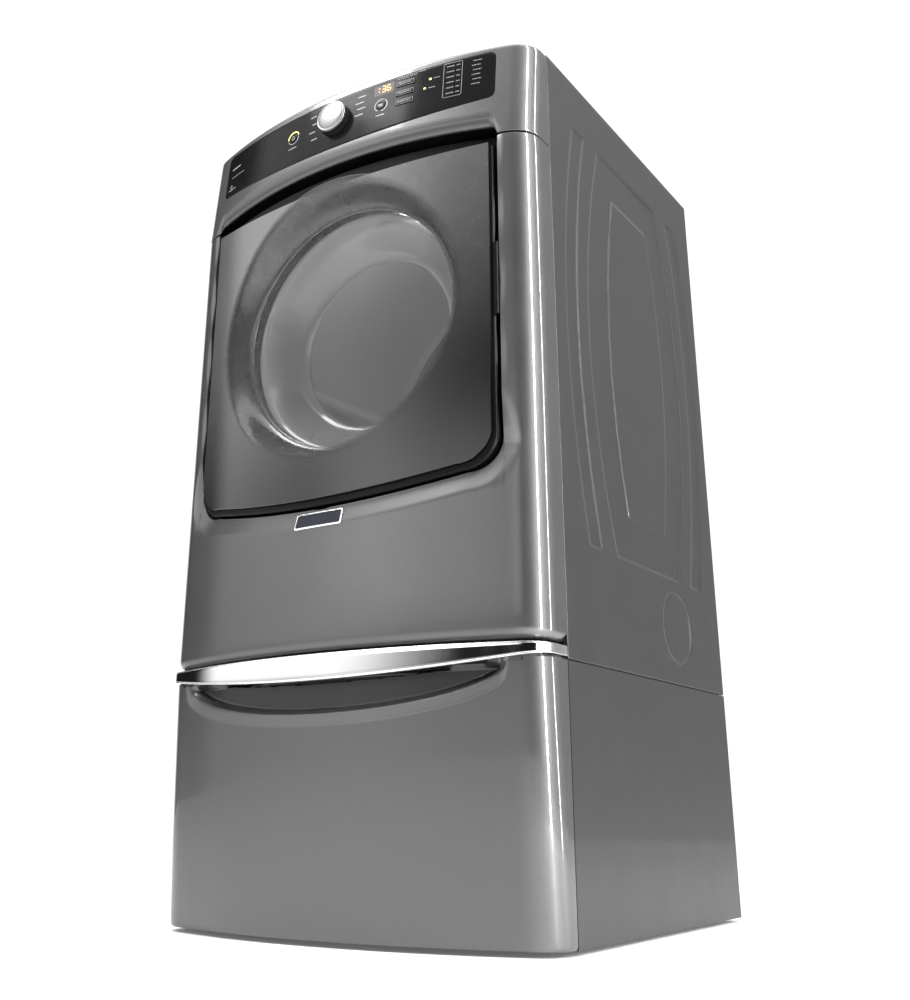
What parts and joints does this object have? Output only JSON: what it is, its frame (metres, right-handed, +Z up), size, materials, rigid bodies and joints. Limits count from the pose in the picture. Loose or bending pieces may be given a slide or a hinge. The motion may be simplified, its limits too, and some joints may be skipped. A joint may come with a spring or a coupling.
{
  "type": "front load tumble dryer",
  "caption": "Front-load laundry machine, a vented tumble dryer, with a round glazed door, finned drum, control console and a drawer pedestal.",
  "frame": {"origin": "on the floor, at the middle of the bounding box", "axes": "+X towards the machine's right side seen from the front, -Y towards the front and the door, +Z up"},
  "size_m": [0.7, 0.737, 1.36],
  "materials": {
    "cabinet_paint": "metallic mid grey, semi-gloss",
    "console_paint": "metallic grey, semi-gloss",
    "black_gloss": "high gloss",
    "dark_satin": "satin",
    "pale_plastic": "fine satin",
    "chrome": "mirror",
    "steel": "galvanised, dull",
    "drum_finish": "powder coat, satin",
    "glass": "smoked, glossy",
    "rubber": "matt",
    "felt": "pressed felt",
    "display_lens": "glossy amber lens",
    "badge_metal": "satin"
  },
  "bodies": {
    "cabinet": {"badge_plate": "badge_metal", "base_pan": "steel", "blower_housing": "dark_satin", "console_housing": "console_paint", "control_panel": "black_gloss", "display_window": "display_lens", "drive_belt": "rubber", "drum_seal": "felt", "exhaust_pipe": "steel", "foot_1": "rubber", "foot_2": "rubber", "foot_3": "rubber", "foot_4": "rubber", "front_bulkhead": "pale_plastic", "front_panel": "cabinet_paint", "heater_box": "steel", "hinge_bracket": "steel", "idler_bracket": "steel", "latch_catch": "pale_plastic", "lint_duct": "dark_satin", "motor": "steel", "pedestal_cabinet": "cabinet_paint", "rail_outer_left": "steel", "rail_outer_right": "steel", "rear_bulkhead": "drum_finish", "rear_panel": "steel", "side_panel_left": "cabinet_paint", "side_panel_right": "cabinet_paint", "terminal_cover": "steel", "top_panel": "cabinet_paint"},
    "door": {"door_frame": "black_gloss", "door_glass": "glass", "door_liner": "pale_plastic", "door_bowl": "glass", "door_seal": "felt", "door_strike": "steel", "hinge_arm": "steel"},
    "drawer": {"drawer_front": "cabinet_paint", "drawer_trim": "chrome", "drawer_box": "dark_satin", "rail_inner_left": "steel", "rail_inner_right": "steel"},
    "knob": {"control_knob": "chrome"},
    "power_button": {"button_power": "black_gloss"},
    "start_button": {"button_start": "black_gloss"},
    "option_button_1": {"button_option_1": "black_gloss"},
    "option_button_2": {"button_option_2": "black_gloss"},
    "option_button_3": {"button_option_3": "black_gloss"},
    "drum_body": {"drum": "drum_finish", "drum_fin_1": "pale_plastic", "drum_fin_2": "pale_plastic", "drum_fin_3": "pale_plastic"},
    "motor_shaft": {"motor_pulley": "steel", "blower_wheel": "dark_satin"},
    "roller_right": {"drum_roller_right": "rubber"},
    "roller_left": {"drum_roller_left": "rubber"},
    "idler_lever": {"idler_arm": "steel"},
    "idler_wheel": {"idler_pulley": "dark_satin"},
    "lint_filter": {"lint_screen": "pale_plastic"}
  },
  "joints": [
    {"name": "door_hinge", "type": "hinge", "parent": "cabinet", "child": "door", "pos_m": [0.2925, -0.3115, 0.933], "axis": [0, 0, 1], "range_deg": [0, 110]},
    {"name": "drawer_slide", "type": "slide", "parent": "cabinet", "child": "drawer", "axis": [0, -1, 0], "range_m": [0, 0.4]},
    {"name": "knob_turn", "type": "hinge", "parent": "cabinet", "child": "knob", "pos_m": [0, -0.34914, 1.298], "axis": [0, -0.9959, 0.0905], "continuous": true},
    {"name": "power_press", "type": "slide", "parent": "cabinet", "child": "power_button", "axis": [0.0976, 0.9911, -0.0901], "range_m": [0, 0.001], "stiffness_N_per_m": 500, "springref_m": -0.001},
    {"name": "start_press", "type": "slide", "parent": "cabinet", "child": "start_button", "axis": [-0.0936, 0.9915, -0.0901], "range_m": [0, 0.001], "stiffness_N_per_m": 500, "springref_m": -0.001},
    {"name": "option_1_press", "type": "slide", "parent": "cabinet", "child": "option_button_1", "axis": [-0.1384, 0.9863, -0.0897], "range_m": [0, 0.001], "stiffness_N_per_m": 500, "springref_m": -0.001},
    {"name": "option_2_press", "type": "slide", "parent": "cabinet", "child": "option_button_2", "axis": [-0.1384, 0.9863, -0.0897], "range_m": [0, 0.001], "stiffness_N_per_m": 500, "springref_m": -0.001},
    {"name": "option_3_press", "type": "slide", "parent": "cabinet", "child": "option_button_3", "axis": [-0.1384, 0.9863, -0.0897], "range_m": [0, 0.001], "stiffness_N_per_m": 500, "springref_m": -0.001},
    {"name": "drum_turn", "type": "hinge", "parent": "cabinet", "child": "drum_body", "pos_m": [0, 0.0285, 0.93], "axis": [0, -1, 0], "continuous": true},
    {"name": "motor_turn", "type": "hinge", "parent": "cabinet", "child": "motor_shaft", "pos_m": [0.12, 0.0685, 0.475], "axis": [0, -1, 0], "continuous": true},
    {"name": "roller_right_turn", "type": "hinge", "parent": "cabinet", "child": "roller_right", "pos_m": [0.20207, 0.2575, 0.64141], "axis": [0, -1, 0], "continuous": true},
    {"name": "roller_left_turn", "type": "hinge", "parent": "cabinet", "child": "roller_left", "pos_m": [-0.20207, 0.2575, 0.64141], "axis": [0, -1, 0], "continuous": true},
    {"name": "idler_swing", "type": "hinge", "parent": "cabinet", "child": "idler_lever", "pos_m": [0.24755, 0.0685, 0.402], "axis": [0, 1, 0], "range_deg": [0, 10], "stiffness_Nm_per_rad": 2, "springref_deg": -20.05},
    {"name": "idler_turn", "type": "hinge", "parent": "idler_lever", "child": "idler_wheel", "pos_m": [0.20255, 0.0685, 0.55681], "axis": [0, -1, 0], "continuous": true},
    {"name": "lint_lift", "type": "slide", "parent": "cabinet", "child": "lint_filter", "axis": [0, 0, 1], "range_m": [0, 0.012]}
  ],
  "couplings": [
    {"joint": "motor_turn", "follows": "drum_turn", "ratio": 26.833},
    {"joint": "roller_right_turn", "follows": "drum_turn", "ratio": -10.733},
    {"joint": "roller_left_turn", "follows": "drum_turn", "ratio": -10.733},
    {"joint": "idler_turn", "follows": "drum_turn", "ratio": -14.636}
  ]
}
